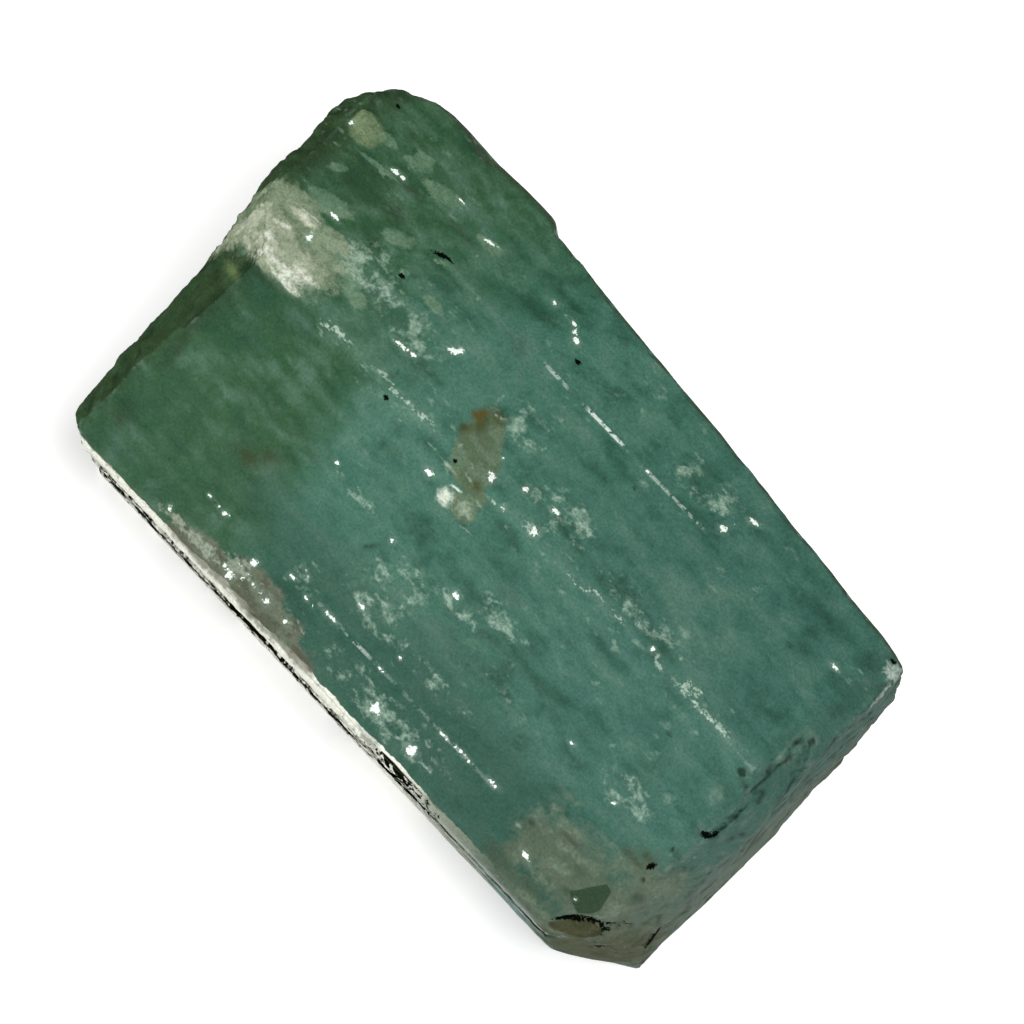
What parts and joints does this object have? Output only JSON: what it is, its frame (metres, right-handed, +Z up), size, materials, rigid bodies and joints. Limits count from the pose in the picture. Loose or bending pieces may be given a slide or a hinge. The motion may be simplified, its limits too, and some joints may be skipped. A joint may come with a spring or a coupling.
{
  "type": "emerald crystal",
  "caption": "Rough emerald crystal, a stubby six-sided prism lying on one prism face, with broken ends, a chipped lower corner and pale veils and flakes in milky blue-green beryl.",
  "frame": {"origin": "on the resting prism face, in the middle of the crystal's bounding box", "axes": "+X along the crystal's long axis towards the end with the broken lower corner, +Z up, -Y towards the side where the ridge between the top and front prism faces is seen"},
  "size_m": [0.03, 0.0206, 0.0177],
  "materials": {
    "emerald": "milky blue-green beryl with a satin to glassy surface, lengthwise growth lines, pale veils and flakes, and broken ends"
  },
  "bodies": {
    "root": {"emerald_crystal": "emerald"}
  },
  "joints": []
}
